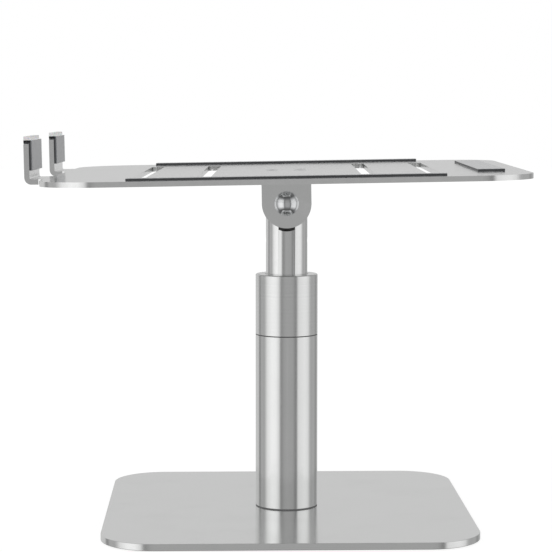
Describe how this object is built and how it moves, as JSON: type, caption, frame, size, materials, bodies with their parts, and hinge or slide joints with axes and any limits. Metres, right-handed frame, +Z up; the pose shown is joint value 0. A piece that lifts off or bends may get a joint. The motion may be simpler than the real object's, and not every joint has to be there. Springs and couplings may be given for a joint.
{
  "type": "laptop stand",
  "caption": "Telescoping laptop stand: square foot plate, column with twist-lock collar, friction hinge and a slotted tray with two front hooks and soft pads.",
  "frame": {"origin": "under the middle of the foot, on the column's axis, on the surface that the stand stands on", "axes": "+Z up along the column, -Y towards the user and the hooks, X along the laptop's width"},
  "size_m": [0.2863, 0.2924, 0.233],
  "materials": {
    "satin_aluminium": "fine bead-blasted, clear anodised, satin",
    "turned_aluminium": "fine turned rings, clear anodised",
    "machined_aluminium": "plain machined",
    "polished_chrome": "polished",
    "screw_steel": "plain zinc plated",
    "grey_silicone": "satin, slightly soft",
    "dark_seal": "matt",
    "foot_mat": "matt, fine texture",
    "white_plastic": "moulded, low friction",
    "washer_plastic": "punched sheet",
    "bush_bronze": "sintered"
  },
  "bodies": {
    "base": {"base_mat": "foot_mat", "base_plate": "satin_aluminium", "base_screws": "screw_steel", "foot_plug": "machined_aluminium", "foot_gasket": "dark_seal", "outer_tube": "satin_aluminium", "lock_neck": "machined_aluminium", "seam_ring": "dark_seal", "collet": "white_plastic"},
    "collar": {"lock_collar": "turned_aluminium", "collar_wiper": "dark_seal"},
    "lift": {"guide_bush": "white_plastic"},
    "swivel": {"inner_tube": "satin_aluminium", "tube_tail": "machined_aluminium", "tail_screw": "screw_steel", "hinge_core": "machined_aluminium", "core_pin": "screw_steel", "hinge_bushes": "bush_bronze", "friction_washers": "washer_plastic"},
    "tray": {"hinge_bracket": "satin_aluminium", "hinge_bolt": "polished_chrome", "hinge_nut": "polished_chrome", "spring_washers": "polished_chrome", "tilt_stop": "screw_steel", "bracket_screws": "screw_steel", "tray_plate": "satin_aluminium", "hook_pad_right": "grey_silicone", "hook_pad_left": "grey_silicone", "tray_strip_right": "grey_silicone", "tray_strip_left": "grey_silicone", "rear_pad": "grey_silicone"}
  },
  "joints": [
    {"name": "collar_twist", "type": "hinge", "parent": "base", "child": "collar", "pos_m": [0, 0, 0.13], "axis": [0, 0, 1], "range_deg": [0, 120]},
    {"name": "lift_slide", "type": "slide", "parent": "base", "child": "lift", "axis": [0, 0, 1], "range_m": [-0.028, 0.038]},
    {"name": "column_swivel", "type": "hinge", "parent": "lift", "child": "swivel", "pos_m": [0, 0, 0.06], "axis": [0, 0, 1], "continuous": true},
    {"name": "tray_tilt", "type": "hinge", "parent": "swivel", "child": "tray", "pos_m": [0, 0, 0.1914], "axis": [0.9995, -0.0314, 0], "range_deg": [-1, 48]}
  ]
}
